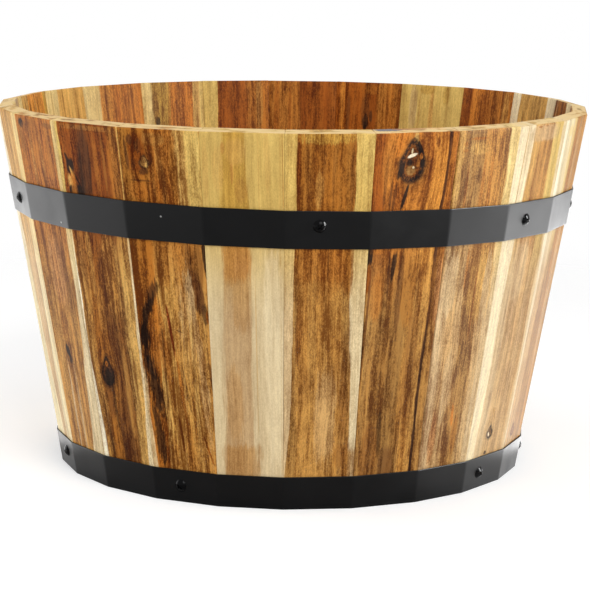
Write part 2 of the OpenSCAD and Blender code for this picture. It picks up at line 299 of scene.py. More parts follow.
BOARDS[8] = Board(
    [(HONEY, FAWN, -6, -5, -5, 6), (HONEY, BISCUIT, 17, 16, 14, 1.6), (IVORY, PALE)],
    [(-20, 320, 3, 40, TEAK), (8, 320, 2, 36, TAN)],
    knots=[(-12, 168, 5, 8, COCOA, UMBER, 0.7)])
BOARDS[9] = Board(
    [(CARAMEL, HAZEL, -5, -5, -4, 5), (AMBER, TEAK, 23, 21, 18, 2.5), (SIENNA, WALNUT, 26.5, 25, 21, 1.2),
     (RUSSET, HAZEL)],
    [(-20, 200, 2, 60, COCOA, 0.5), (-28, 330, 5, 30, HONEY, 0.5), (8, 330, 1.6, 30, SIENNA, 0.7)])
BOARDS[10] = Board(
    [(STRAW, CREAM, -3, -3, -2, 3), (HONEY, SAND, 2, 2, 2, 2.5), (STRAW, CREAM)],
    [(6, 350, 9, 5, GOLD), (22, 330, 5, 26, BISCUIT, 0.5), (-18, 345, 4, 10, GOLD, 0.5),
     (14, 320, 1.6, 30, TAN, 0.4)],
    grain=0.75)
BOARDS[11] = Board(
    [(CARAMEL, HAZEL, -12, -12, -10, 5), (SIENNA, WALNUT, 4, 4, 3, 3), (RUSSET, HAZEL, 26, 25, 22, 2),
     (AMBER, TEAK, 32, 31, 28, 1.2), (RUSSET, WALNUT)],
    [(2, 312, 3.2, 9, BLACK, 0.9), (-4, 318, 2, 7, UMBER, 0.8), (3, 326, 5, 16, COCOA, 0.5),
     (22, 318, 2.2, 26, COCOA, 0.7), (-22, 320, 1.6, 30, SIENNA), (-4, 348, 8, 6, CARAMEL, 0.5)])
BOARDS[12] = Board(
    [(RUSSET, HAZEL, -5, -5, -4, 2.5), (SIENNA, WALNUT, 2.7, 3, 2, 2), (CARAMEL, HAZEL)],
    [(20, 347, 2, 4, SIENNA, 0.7), (-16, 346, 2, 4, SIENNA, 0.7), (-28, 320, 4, 40, SIENNA, 0.5),
     (14, 320, 1.5, 40, RUSSET, 0.7), (28, 320, 3, 40, RUSSET)],
    knots=[(14, 110, 5, 9, COCOA, UMBER, 0.7)])
BOARDS[13] = Board(
    [(CARAMEL, TEAK, -12, -11, -10, 5), (RUSSET, HAZEL, 18.5, 17, 14, 1.4),
     (RUSSET, WALNUT, 21.5, 20, 17, 1), (STRAW, CREAM)],
    [(-3.3, 348, 3.2, 4.5, SIENNA, 0.85), (-26, 330, 4, 30, TAN), (6, 330, 2, 30, SIENNA, 0.5)])
BOARDS[14] = Board(
    [(STRAW, FAWN, -33, -30, -26, 2), (HONEY, CREAM, -24, -22, -18, 2.5), (AMBER, TEAK, 6, 6, 5, 5),
     (GOLD, HAZEL, 26, 20, 16, 3), (BUTTER, CREAM)],
    [(20, 313, 2.8, 5, BLACK, 0.8), (22, 330, 4, 18, WALNUT), (-4, 320, 2, 30, RUSSET, 0.5)])
BOARDS[15] = Board(
    [(AMBER, TEAK, -16, -15, -12, 4), (AMBER, HAZEL, 4, 4, 3, 4), (COPPER, TAN, 18, 17, 14, 2),
     (BUTTER, PALE)],
    [(-26, 330, 1.6, 30, SIENNA, 0.7), (-6, 330, 1.6, 30, SIENNA), (10, 330, 1.4, 30, RUSSET)],
    knots=[(-14, 205, 4, 7, COCOA, UMBER, 0.7)])
BOARDS[16] = Board(
    [(MAIZE, TEAK, -30, -28, -24, 2), (MAIZE, SAND, 13.5, 13, 11, 2), (BUTTER, PALE)],
    [(-8, 150, 1.8, 80, TAN), (4, 330, 1.6, 30, TAN, 0.5), (-18, 330, 3, 30, TAN, 0.4),
     (24, 330, 1.4, 30, HONEY)],
    grain=0.8)
BOARDS[17] = Board(
    [(GOLD, BISCUIT, -30, -27, -22, 2.5), (COPPER, TEAK, 4, 4, 3, 5), (COPPER, HAZEL, 14, 13, 11, 2.5),
     (HONEY, FAWN, 31, 29, 25, 2), (BUTTER, PALE)],
    [(9, 338, 2, 12, WALNUT, 0.8), (-14, 336, 1.6, 16, CHESTNUT), (-6, 336, 3, 16, HONEY),
     (22, 336, 1.6, 16, CHESTNUT, 0.7)])
BOARDS[18] = Board(
    [(MAIZE, PALE, -34, -31, -26, 1.5), (BISCUIT, TEAK, 6, 6, 5, 5), (BUTTER, FAWN)])
BOARDS[19] = Board(
    [(BONE, PALE, -29, -17, 1, 1.6), (HONEY, BISCUIT, 20, 12.5, 7, 1.6), (BUTTER, PALE)],
    [(10, 200, 1, 24, CLAY, 0.8), (-4, 310, 2.2, 50, TAN), (12, 310, 1.6, 50, TAN),
     (-16, 312, 1.4, 40, TAN, 0.5), (30, 200, 0.8, 160, STRAW, 0.8, 0.02, 6), (6, 140, 2, 40, FAWN, 0.5)],
    grain=0.9)
BOARDS[20] = Board(
    [(BUTTER, HONEY, -37.2, -34.5, -29.6, 1), (CARAMEL, TAN, -20, -18, -14, 5),
     (CARAMEL, TAN, 31, 25.5, 9, 1.6), (BUTTER, CREAM)],
    [(-28, 348, 4.4, 4.8, BLACK, 0.95, 0, 2, 0.5), (-21, 345, 7, 5, WALNUT),
     (-29, 330, 5, 14, WALNUT, 0.6, -0.05), (-12, 350, 8, 3, CHESTNUT), (19, 349.5, 4, 2.2, WALNUT, 0.85),
     (28, 349, 3.5, 2.6, WALNUT, 0.85), (24, 343, 8, 3, CARAMEL, 0.5), (-14, 312, 2, 36, TAN),
     (4, 312, 2.4, 36, TAN, 0.5), (18, 312, 1.6, 36, CHESTNUT), (36, 300, 0.8, 60, GOLD),
     (-2, 208, 14, 34, CLAY, 0.6, 0, 3), (12, 226, 2, 26, CHESTNUT), (-20, 215, 3, 30, CHESTNUT),
     (-7, 126, 7.5, 15, WALNUT, 0.7, 0.1), (-8.5, 129, 3.6, 6.5, BLACK, 0.95, -0.25),
     (-5.5, 121, 2.8, 5, BLACK, 0.85), (-10, 160, 3, 22, CHESTNUT, 0.6, 0.08), (-6, 100, 2, 16, WALNUT),
     (-13, 70, 1.6, 50, CREAM), (-2, 60, 2, 60, SAND), (4, 90, 1.6, 60, CHESTNUT, 0.5),
     (16, 200, 1.2, 60, CHESTNUT, 0.5)],
    grain=1.25)
BOARDS[21] = Board(
    [(STRAW, BONE, -36.6, -32.6, -25, 1), (RUSSET, TAN, -18, -20, -16, 2),
     (SIENNA, CHESTNUT, 2, -4, -5, 2.5), (SIENNA, WALNUT, 24, 20, 15, 6),
     (CHESTNUT, HONEY, 38, 34, 24, 1.4), (HONEY, IVORY)],
    [(0, 351.5, 34, 2.2, TAN, 0.35, 0, 6), (-26, 314, 5, 9, BLACK, 0.98, 0, 2.5, 0.45),
     (-29.5, 322, 1.8, 5, BLACK, 0.9, -0.3), (-19.5, 303, 1.3, 8, BLACK, 0.9, -0.6),
     (-27.5, 298, 3, 9, HONEY, 0.9, -0.15), (-25.5, 309, 1.2, 5, HONEY, 0.8, -0.3),
     (-20, 292, 11, 6, BLACK, 0.95, 0, 2, 0.6), (-11, 299, 3, 6, UMBER, 0.7, 0.3),
     (-24, 296, 4, 14, CARAMEL), (-26, 335, 4, 14, SIENNA, 0.8), (-8, 318, 8, 38, UMBER, 0.75, 0.05),
     (-12, 306, 1.6, 30, BLACK, 0.6, 0.05), (-1, 312, 1.4, 34, BLACK, 0.55, 0.05),
     (8, 318, 3, 30, CARAMEL, 0.5), (18, 320, 1.8, 30, CHESTNUT, 0.5), (28, 318, 5, 34, CARAMEL),
     (-16, 225, 4, 36, TAN, 0.7), (-24, 215, 2, 40, WALNUT, 0.7), (-4, 215, 2, 40, WALNUT),
     (10, 215, 11, 40, TAN, 0.85, 0, 3), (20, 190, 2, 50, WALNUT), (-10, 180, 5, 26, TAN, 0.5),
     (-8, 90, 1.8, 32, BLACK, 0.6, -0.03), (-14, 100, 5, 30, COCOA, 0.6, -0.05),
     (-2, 45, 2.4, 36, COCOA, 0.8, -0.05), (6, 60, 5, 46, COCOA, 0.45), (12, 100, 3, 50, TAN, 0.5),
     (-20, 60, 1.6, 50, COCOA, 0.7, -0.1)],
    knots=[(-12.5, 119, 7.5, 14, COCOA, BLACK, 0.75)],
    dents=[(-13, 120, 3.5, 9, 0.5)],
    grain=1.4,
    chips=[(-12.5, 114, 4.6, 7.5, BLACK, 0.9), (-13.4, 126, 1.5, 3, AMBER, 0.95),
           (-13.4, 126, 0.6, 1.5, BLACK, 0.9)])
BOARDS[22] = Board(
    [(AMBER, SAND, -39, -38.8, -27, 1), (CHESTNUT, CARAMEL, -13, -15, -15, 4),
     (CARAMEL, HONEY, 2, 2, 2, 6), (CARAMEL, TAN)],
    [(28, 320, 13.5, 44, HONEY, 0.95, 0, 8), (33, 320, 8, 44, STRAW, 0.8, 0, 6),
     (12, 318, 3.5, 32, CHESTNUT, 0.8), (20, 316, 1.4, 32, TAN), (-23, 330, 9, 21, SIENNA, 0.9),
     (-33, 330, 1.5, 17, COCOA, 0.85, -0.08, 2, 0.6), (-29, 345, 3.4, 5, COCOA, 0.9),
     (-21, 339, 4, 7, COCOA, 0.9, 0, 2, 0.6), (-9.5, 328, 2, 6, COCOA, 0.9),
     (-27, 318, 2.4, 12, COCOA, 0.7, 0, 2, 0.6), (-20, 316, 7, 4, SIENNA, 0.8), (-6, 346, 12, 6, TAN),
     (-2, 328, 3, 22, TAN, 0.6, -0.05), (-20, 307.6, 11, 0.9, COCOA, 0.8, 0, 2, 0.2),
     (-24, 298, 10, 8, CARAMEL, 0.7), (2, 305, 2, 26, WALNUT), (-8, 300, 2, 20, WALNUT, 0.5),
     (28, 228, 8, 24, WALNUT, 0.85, 0.05), (20, 235, 3, 18, COCOA), (29, 200, 5, 16, COCOA, 0.9),
     (25, 206, 6, 17, COCOA, 0.75, 0.1), (21, 217, 6, 12, COCOA, 0.7, 0.3),
     (-34, 105, 3.5, 24, SAND, 0.85, 0, 3), (33, 186, 3, 10, UMBER, 0.8),
     (37, 238, 2.2, 18, BLACK, 0.9, -0.06), (35, 184, 1.4, 6, SIENNA, 0.9),
     (-23, 150, 12, 75, COCOA, 0.2), (-13, 336, 8, 15, SIENNA, 0.5, 0, 3),
     (-18, 313, 12, 5, CHESTNUT, 0.5), (-6, 232, 8, 24, CHESTNUT, 0.6, 0, 3),
     (-12, 155, 5, 46, AMBER, 0.6, -0.1), (-18.5, 203, 5.4, 12, UMBER, 0.85, 0.35, 2, 0.9),
     (-25.5, 184, 4.6, 16, BLACK, 0.9, 0.33, 2, 0.9), (-30, 160, 5.2, 15, BLACK, 0.95, 0, 2, 0.8),
     (-27.5, 134, 5.2, 15, UMBER, 0.9, -0.2, 2, 1.1), (-29.5, 139, 2, 5, BLACK, 0.9, 0, 2, 0.8),
     (-22.5, 108, 6.2, 25, BLACK, 0.85, -0.2, 2, 1.1), (-23, 66, 4.8, 32, BLACK, 0.8, -0.08, 2, 1.2),
     (-10, 44, 6, 24, CHESTNUT, 0.7, 0, 2, 1.2), (-3.2, 168, 1.5, 26, RUST, 0.9, -0.1, 2, 0.25),
     (3.5, 110, 1.7, 36, AMBER, 0.75, -0.09), (8.5, 112, 1.2, 24, COCOA, 0.9, -0.12),
     (5.5, 168, 2, 1.6, COCOA, 0.85, -2.8), (20, 200, 3, 26, BISCUIT, 0.6, -0.05, 2, 1),
     (-12, 130, 1.4, 44, COCOA, 0.7), (-6, 120, 2.4, 60, CHESTNUT), (16, 176, 9, 44, FAWN, 0.55, 0, 2, 1),
     (15, 118, 8, 60, HONEY, 0.55, 0, 2, 1), (26, 120, 4, 60, FAWN, 0.6, -0.05, 2, 1),
     (28, 140, 2.2, 14, WALNUT, 0.8, 0, 2, 0.9), (34, 128, 1.4, 14, COCOA, 0.85, -0.05),
     (15, 120, 1.8, 60, CHESTNUT), (0, 66, 1.4, 20, SIENNA, 0.8, -0.1), (8, 50, 3, 30, CHESTNUT),
     (26, 55, 1, 16, RUSSET, 0.9, -0.3)],
    knots=[(-16, 325, 5, 5.8, TEAK, UMBER, 0.6)],
    wanes=[(RIGHT, 195, 262, 1.2, 2.5), (LEFT, 285, 356, 0.4, 1.2)],
    grain=1.4,
    chips=[(-18, 328, 1.6, 3, COCOA, 0.8), (-14, 322, 1.4, 2.4, HONEY, 0.7),
           (-17, 316, 4.5, 3.2, UMBER, 0.75, 0.3)])
BOARDS[23] = Board(
    [(STRAW, CREAM, -19, -20, -22, 4.5), (GOLD, BISCUIT, 3, 5, 4, 4), (STRAW, CREAM)],
    [(-7, 240, 13, 22, AMBER, 0.55, 0, 3), (-14, 236, 5, 24, TAN, 0.5, 0, 3),
     (-4, 200, 8, 30, TAN, 0.4, 0, 3), (-17.4, 341, 2.2, 5.5, TAN, 0.75), (-9.5, 319, 1.5, 10, TAN, 0.7),
     (-6, 338, 9, 13, HONEY, 0.5), (-22, 322, 5, 22, HONEY, 0.4), (-2, 303, 6, 12, TAN, 0.4),
     (-33, 318, 3, 30, HONEY, 0.4), (-6, 44, 17, 18, TAN, 0.65, 0, 6), (-12, 100, 8, 40, TAN, 0.4),
     (22, 330, 3, 30, HONEY, 0.35), (35.4, 320, 0.5, 40, TAN, 0.7, 0, 8),
     (31, 150, 0.6, 300, HONEY, 0.35, 0.012, 8), (25, 145, 9, 105, IVORY, 0.45, 0, 3),
     (14, 300, 0.6, 60, HONEY, 0.5), (9, 150, 0.6, 80, HONEY, 0.5)],
    grain=0.5)

# ---------------------------------------------------------------- node helpers


def linear(tone):
    """An sRGB colour of 0 to 255 as the linear colour that a shader takes."""
    def channel(c):
        c /= 255
        return c / 12.92 if c <= 0.04045 else ((c + 0.055) / 1.055) ** 2.4
    return tuple(channel(c) for c in tone) + (1.0,)


def maths(operation, swap=False):
    """A method that adds the math node of an operator."""
    def method(self, other=0.0):
        pair = (other, self) if swap else (self, other)
        return self.graph.math(operation, *pair)
    return method


class Wire:
    """A node's output. Sums and products of wires add the nodes that work them out."""

    def __init__(self, graph, socket):
        self.graph = graph
        self.socket = socket

    __add__ = __radd__ = maths("ADD")
    __mul__ = __rmul__ = maths("MULTIPLY")
    __sub__ = maths("SUBTRACT")
    __rsub__ = maths("SUBTRACT", True)
    __truediv__ = maths("DIVIDE")
    __rtruediv__ = maths("DIVIDE", True)
    __pow__ = maths("POWER")
    __abs__ = maths("ABSOLUTE")


class Graph:
    """A node tree that is written as a formula: each call adds a node."""

    def __init__(self, tree):
        self.tree = tree

    def feed(self, socket, value):
        if isinstance(value, Wire):
            self.tree.links.new(value.socket, socket)
        else:
            socket.default_value = value

    def node(self, kind, inputs=(), **settings):
        made = self.tree.nodes.new(kind)
        for name, value in settings.items():
            setattr(made, name, value)
        for name, value in dict(inputs).items():
            self.feed(made.inputs[name], value)
        return made

    def wire(self, kind, inputs=(), output=0, **settings):
        """One output of a new node, by its number or name."""
        return Wire(self, self.node(kind, inputs, **settings).outputs[output])

    def wires(self, kind, inputs=(), **settings):
        """All outputs of a new node, by name."""
        made = self.node(kind, inputs, **settings)
        return {socket.name: Wire(self, socket) for socket in made.outputs if socket.name}

    def math(self, operation, a, b=0.0):
        return self.wire("ShaderNodeMath", {0: a, 1: b}, operation=operation)

    def ramp(self, value, low, high, to_low=0.0, to_high=1.0, kind="LINEAR"):
        """Goes from to_low at low to to_high at high."""
        return self.wire("ShaderNodeMapRange",
                         {"Value": value, "From Min": low, "From Max": high,
                          "To Min": to_low, "To Max": to_high}, interpolation_type=kind)

    def steps(self, value, low, high, to_low=0.0, to_high=1.0):
        """The same, but smooth at both ends."""
        return self.ramp(value, low, high, to_low, to_high, "SMOOTHSTEP")

    def mix(self, factor, a, b, blend="MIX"):
        return self.wire("ShaderNodeMix", {0: factor, 6: a, 7: b}, 2, data_type="RGBA",
                         blend_type=blend)

    def tinted(self, share, colour, tint):
        """The colour multiplied by a tint, by a share."""
        return self.mix(share, colour, self.mix(1.0, colour, tint, "MULTIPLY"))

    def noise(self, place, seed, detail=2.0, roughness=0.5):
        """Noise of 0 to 1 at a vector, or at three coordinates."""
        if isinstance(place, tuple):
            place = self.wire("ShaderNodeCombineXYZ", dict(enumerate(place)))
        return self.wire("ShaderNodeTexNoise",
                         {"Vector": place, "W": seed, "Scale": 1.0, "Detail": detail,
                          "Roughness": roughness}, "Fac", noise_dimensions="4D")

    def scaled(self, vector, factor):
        """The vector times a factor."""
        return self.wire("ShaderNodeVectorMath", {0: vector, "Scale": factor},
                         operation="SCALE")

    def on_object(self):
        """The place in the object's own metres."""
        return self.wire("ShaderNodeTexCoord", (), "Object")

    def axes(self, vector):
        """The vector's x, y and z."""
        return self.wires("ShaderNodeSeparateXYZ", {0: vector}).values()

    def surface(self, shader, colour, roughness, height, strength, depth):
        """Feeds the Principled shader its colour, its roughness and a bump."""
        bump = self.wire("ShaderNodeBump", {"Height": height, "Strength": strength,
                                            "Distance": depth})
        self.feed(shader.inputs["Base Color"], colour)
        self.feed(shader.inputs["Roughness"], roughness)
        self.feed(shader.inputs["Normal"], bump)


def new_material(name):
    """A material, its graph and its Principled shader."""
    material = bpy.data.materials.new(name)
    material.use_nodes = True
    return material, Graph(material.node_tree), material.node_tree.nodes["Principled BSDF"]


COLOUR_SOCKETS = ("colour", "top", "foot", "tone", "core", "halo")


def node_group(formula):
    """Makes a node group of a formula: its arguments are the group's inputs and what it
    returns are its outputs. Gives a function that adds the group to a graph."""
    tree = bpy.data.node_groups.new(formula.__name__, "ShaderNodeTree")
    inside = Graph(tree)

    def add_sockets(names, way):
        for name in names:
            kind = "NodeSocketColor" if name in COLOUR_SOCKETS else "NodeSocketFloat"
            tree.interface.new_socket(name, in_out=way, socket_type=kind)

    def add_group(graph, **inputs):
        return graph.wires("ShaderNodeGroup", inputs, node_tree=tree)

    add_sockets(list(signature(formula).parameters)[1:], "INPUT")
    results = formula(inside, **inside.wires("NodeGroupInput"))
    add_sockets(results, "OUTPUT")
    inside.node("NodeGroupOutput", results)
    return add_group


# ---------------------------------------------------------------- wood

# In these groups every length is in mm, and a noise's factors are its cycles per mm.
# The heights at which the edge of a band is given, and those between which a board's
# foot tones turn into its top tones
EDGE_AT = (0.0, 175.0, 350.0)
FADE = (175.0, 290.0)


@node_group
def wobble(g, across, deep, up, seed):
    """Where the grain runs: the place across, swayed a little along the board."""
    slow = g.noise((across * 0.01, 0.0, up * 0.012), seed, 1)
    quick = g.noise((across * 0.12, deep * 0.1, up * 0.06), seed, 2)
    return {"across": across + ((slow - 0.5) * 7.0 + (quick - 0.5) * 1.6)}


@node_group
def band(g, colour, across, up, top, foot, edge_top, edge_mid, edge_foot, soft, seed):
    """Lays the next band's tone over all that is past the band's edge."""
    upper = g.ramp(up, EDGE_AT[1], EDGE_AT[2], edge_mid, edge_top)
    lower = g.ramp(up, EDGE_AT[0], EDGE_AT[1], edge_foot, edge_mid)
    feather = g.noise((across * 0.55, 0.0, up * 0.022), seed, 3, 0.6)
    feather = (feather - 0.5) * (1.5 + soft * 2.4)
    past = (across - (upper + lower - edge_mid) + feather) / soft
    tone = g.mix(g.steps(up, *FADE), foot, top)
    return {"colour": g.mix(g.steps(past, -0.5, 0.5), colour, tone)}


@node_group
def mark(g, colour, across, up, x, s, rx, rs, tone, strength, lean, box, ragged, seed):
    """A ragged spot or streak of another tone."""
    ds = up - s
    dx = across - x - ds * lean
    far = (abs(dx / rx) ** box + abs(ds / rs) ** box) ** (1.0 / box)
    fray = g.noise((across * 0.7, 0.0, up * 0.07), seed, 3, 0.6)
    far = far + (fray - 0.5) * (ragged * 3.0)
    return {"colour": g.mix(g.steps(far, 1.15, 0.75) * strength, colour, tone)}


@node_group
def push(g, across, up, x, s, rx, rs, force):
    """Pushes the grain aside round a knot."""
    dx = across - x
    near = (dx / (rx * 2.0)) ** 2.0 + ((up - s) / (rs * 2.2)) ** 2.0
    pull = g.math("EXPONENT", near * -1.0) * force
    return {"across": x + dx * (1.0 - pull)}


@node_group
def knot(g, colour, across, up, x, s, rx, rs, core, halo, seed):
    """A knot: a dark halo, rings and a core, with a point at its top and foot."""
    dx = (across - x) / rx
    ds = (up - s) / rs
    narrow = g.math("MAXIMUM", ds, 0.0) ** 1.2
    aside = abs(dx * (1.0 + narrow * 1.6))
    far = g.math("SQRT", aside ** 2.0 + (abs(ds) ** 1.4) ** 2.0)
    fray = g.noise((across * 0.5, 0.0, up * 0.35), seed, 4, 0.65)
    far = far + (fray - 0.5) * 0.55
    rim = g.steps(far, 1.25, 0.95) * g.steps(far, 0.55, 0.88, 0.30, 1.0)
    rim = rim * g.steps(fray, 0.34, 0.52, 0.45, 1.0)
    colour = g.mix(g.steps(far, 1.9, 0.9) * 0.45, colour, halo)
    colour = g.mix(g.steps(far, 1.1, 0.8) * 0.8, colour, core)
    colour = g.mix(rim, colour, halo)
    rings = g.steps(g.math("SINE", far * 19.0), 0.1, 0.9) * (g.steps(far, 1.2, 0.6) * 0.5)
    return {"colour": g.mix(rings, colour, linear(BLACK))}


# The layers of the grain: cycles per mm across, deep and up a board, octaves and
# roughness, and how much each adds to the shade
LAYERS = {"fibre": (1.5, 1.5, 0.05, 3, 0.55), "thread": (0.55, 0.5, 0.03, 3, 0.6),
          "streak": (0.20, 0.16, 0.0065, 3, 0.6), "figure": (0.06, 0.03, 0.008, 2, 0.55),
          "cloud": (0.11, 0.06, 0.03, 4, 0.6), "speck": (1.0, 0.9, 0.52, 3, 0.65),
          "mottle": (0.34, 0.3, 0.13, 3, 0.6), "warmth": (0.10, 0.06, 0.005, 3, 0.6)}
WEIGHTS = {"fibre": 0.8, "thread": 1.9, "streak": 2.7, "figure": 1.3, "cloud": 1.6,
           "speck": 2.5, "mottle": 1.3}
# Tints, as linear factors: the grain's darkest and lightest, its hue's warmest and
# coolest, and its thin dark lines
DARKEST, LIGHTEST = (0.36, 0.25, 0.16, 1.0), (1.56, 1.73, 1.93, 1.0)
WARMEST, COOLEST = (1.03, 0.96, 0.82, 1.0), (0.99, 1.03, 1.06, 1.0)
DARK_LINE = (0.38, 0.29, 0.22, 1.0)
WOOD_IOR = 1.14
# How far apart the seeds of neighbouring boards' tones are
TONE_SEED = 3.7
# The strength and the depth of a bump
WOOD_BUMP = (0.35, 0.15 * MM)


@node_group
def grain(g, colour, across, deep, up, end, seed, contrast):
    """Fine fibres, streaks, broad figure and pale flecks over a board's tones, with the
    end grain where a board is cut across, and the roughness and bump that go with them."""
    layer = {}
    for name, (often_across, often_deep, often_up, detail, roughness) in LAYERS.items():
        place = (across * often_across, deep * often_deep, up * often_up)
        layer[name] = g.noise(place, seed, detail, roughness)
    bright = g.wire("ShaderNodeRGBToBW", {0: colour})
    strength = g.steps(bright, 0.12, 0.5, 1.0, 0.36) * contrast
    first, *others = [(layer[name] - 0.5) * weight for name, weight in WEIGHTS.items()]
    light = g.steps(sum(others, first) * strength, -0.8, 0.8)
    colour = g.mix(1.0, colour, g.mix(light, DARKEST, LIGHTEST), "MULTIPLY")
    hue = g.mix(g.steps(layer["warmth"], 0.36, 0.64), WARMEST, COOLEST)
    colour = g.tinted(strength, colour, hue)
    lines = g.steps(layer["thread"], 0.60, 0.74) * (strength * 0.5)
    colour = g.tinted(lines, colour, DARK_LINE)
    flecks = g.steps(layer["speck"], 0.40, 0.26) * g.steps(up, 300.0, 100.0, 0.04, 0.24)
    colour = g.mix(flecks * g.steps(bright, 0.02, 0.10), colour, linear(PALE))

    rays = g.noise((across * 0.55, deep * 1.8, 0.0), seed, 4, 0.65)
    patch = g.noise((across * 0.045, deep * 0.16, 0.0), seed + 5.0, 3)
    cut = g.mix(g.steps(patch, 0.38, 0.54, 0.30, 0.95), colour, linear(WHEAT))
    cut = g.mix(g.steps(rays, 0.52, 0.72) * 0.35, cut, linear(FAWN))
    # Near the outer face the end grain turns tan in streaks
    worn = g.steps(deep, 2.2, 0.4) * g.steps(rays, 0.40, 0.60)
    cut = g.mix(worn * 0.5, cut, linear(TAN))
    fibre = layer["fibre"]
    return {"colour": g.mix(end, colour, cut),
            "roughness": 0.40 + fibre * 0.18 + end * 0.25 + layer["speck"] * 0.08,
            "height": fibre * 0.5 + g.steps(layer["thread"], 0.66, 0.54) * 0.6 + rays * end}


def add_mark(g, colour, across, up, m, seed, share=1.0):
    """The colour with one mark laid over it, at a share of the mark's strength."""
    m = m._replace(tone=linear(m.tone), strength=share * m.strength)
    return mark(g, colour=colour, across=across, up=up, seed=seed, **m._asdict())["colour"]


def wood_shader(g, shader, colour, across, deep, up, end, seed, contrast=1.0, stains=()):
    """Ends a wood material: grain over the tones, then roughness and bump."""
    made = grain(g, colour=colour, across=across, deep=deep, up=up, end=end, seed=seed,
                 contrast=contrast)
    colour = made["colour"]
    for stain in stains:
        colour = add_mark(g, colour, across, deep, stain, seed, end)
    g.surface(shader, colour, made["roughness"], made["height"], *WOOD_BUMP)
    shader.inputs["IOR"].default_value = WOOD_IOR


def stave_material(i, board):
    """The tones of one stave, laid out by its bands, marks and knots."""
    material, g, shader = new_material(f"acacia_{i:02d}")
    place = g.wire("ShaderNodeAttribute", (), "Vector", attribute_name="board")
    across, deep, up = g.axes(g.scaled(place, 1000.0))
    end = g.wire("ShaderNodeAttribute", (), "Fac", attribute_name="end")
    seed = TONE_SEED * i
    run = wobble(g, across=across, deep=deep, up=up, seed=seed)["across"]
    for k in board.knots:
        run = push(g, across=run, up=up, x=k.x, s=k.s, rx=k.rx, rs=k.rs,
                   force=k.push)["across"]
    first = board.bands[0]
    colour = g.mix(g.steps(up, *FADE), linear(first.foot), linear(first.top))
    for before, after in zip(board.bands, board.bands[1:]):
        edge = before._replace(top=linear(after.top), foot=linear(after.foot))
        colour = band(g, colour=colour, across=run, up=up, seed=seed + edge.edge_top,
                      **edge._asdict())["colour"]
    for count, m in enumerate(board.marks):
        colour = add_mark(g, colour, across, up, m, seed + 0.6 * count)
    for count, k in enumerate(board.knots):
        colour = knot(g, colour=colour, across=across, up=up, x=k.x, s=k.s, rx=k.rx, rs=k.rs,
                      core=linear(k.core), halo=linear(k.halo), seed=seed + count)["colour"]
    outer = g.steps(deep, 5.0, 2.0)
    for count, m in enumerate(board.chips):
        colour = add_mark(g, colour, across, up, m, seed + 0.6 * count, outer)
    wood_shader(g, shader, colour, run, deep, up, end, seed, board.grain, board.stains)
    return material


def base_material(name, light, dark, seed, along_x):
    """Plainer planed wood for the base: bands that run along X or along Y."""
    material, g, shader = new_material(name)
    x, y, deep = g.axes(g.scaled(g.on_object(), 1000.0))
    across, up = (y, x) if along_x else (x, y)
    run = wobble(g, across=across, deep=deep, up=up, seed=seed)["across"]
    tone = g.noise((run * 0.03, 0.0, up * 0.002), seed, 2)
    colour = g.mix(g.steps(tone, 0.42, 0.6), linear(dark), linear(light))
    wood_shader(g, shader, colour, run, deep, up, 0.0, seed)
    return material


# ---------------------------------------------------------------- stave meshes

ARC = np.radians([30, 60, 90])
FOOT_ROUND = 0.5 * MM
# A point on the foot's round: its height and how far it is drawn in
FOOT_POINT = (0.15 * MM, 0.2 * MM)
TOP_ROUND = 1.1 * MM
INNER_ROUND = 0.4 * MM
# A long edge's least round and its wander, and how far a wane takes to start, all in mm
EDGE_ROUND, EDGE_WANDER, WANE_RAMP = 0.35, 0.25, 14
# The height from which a stave is cut square, and over which its cut turns level below it
SQUARE_FROM, LEVEL_OVER = 110 * MM, 50 * MM
# How uneven the tops of the boards are, and the height from which that shows
TOP_DROP, DROP_FROM = 0.25 * MM, 200 * MM
PLANE_MARKS = 0.05 * MM
# What counts as the outer face, by depth, and as end grain, by how far a ring is drawn
# in, and the most that a ring is drawn in across
OUTER_DEEP, CUT_DRAWN, MOST_ACROSS = 0.2 * MM, 0.6 * MM, 0.12 * MM
CROZE_EDGE, NEARLY = 0.1 * MM, 0.02 * MM
# Points down each long side of a stave's section, rows across its ends, and how much the
# points of its faces crowd towards their edges
SIDE_POINTS, END_ROWS, CROWDING = 9, 5, 1.25
# Cycles per metre of the noise in the plane's marks and in a dent, across and up, and in
# an edge's wander and the two layers of a wane, up
PLANE_WAVES, DENT_WAVES = (25, 8), (300, 120)
EDGE_WAVES, WANE_WAVES = 40, (60, 240)
# How far apart the seeds of neighbouring boards' shapes are
SHAPE_SEED = 11.3


def grid_faces(rows, columns):
    """Quads of a grid of points, whose columns close on themselves."""
    faces = []
    for r in range(rows - 1):
        for c in range(columns):
            n = (c + 1) % columns
            faces.append((r * columns + c, r * columns + n, (r + 1) * columns + n,
                          (r + 1) * columns + c))
    return faces


def rough(x, y, seed):
    """Smooth seeded noise from -1 to 1."""
    return noise.noise((x, y, seed))


def edge_loss(board, side, up, seed):
    """How far an edge is worn back at a height, and how deep that reaches, in metres."""
    back = EDGE_ROUND + EDGE_WANDER * abs(rough(up * EDGE_WAVES, side * 3.1, seed))
    deep = EDGE_ROUND
    slow, quick = WANE_WAVES
    for w in board.wanes:
        if w.side == side:
            inside = min(up / MM - w.low, w.high - up / MM) / WANE_RAMP
            ragged = 0.75 + 0.5 * rough(up * slow, 7.7, seed)
            ragged += 0.25 * rough(up * quick, 1.3, seed)
            share = min(1.0, max(0.0, inside)) * ragged
            back += share * w.back
            deep += share * w.deep
    return max(back, 0.2) * MM, max(deep, 0.2) * MM


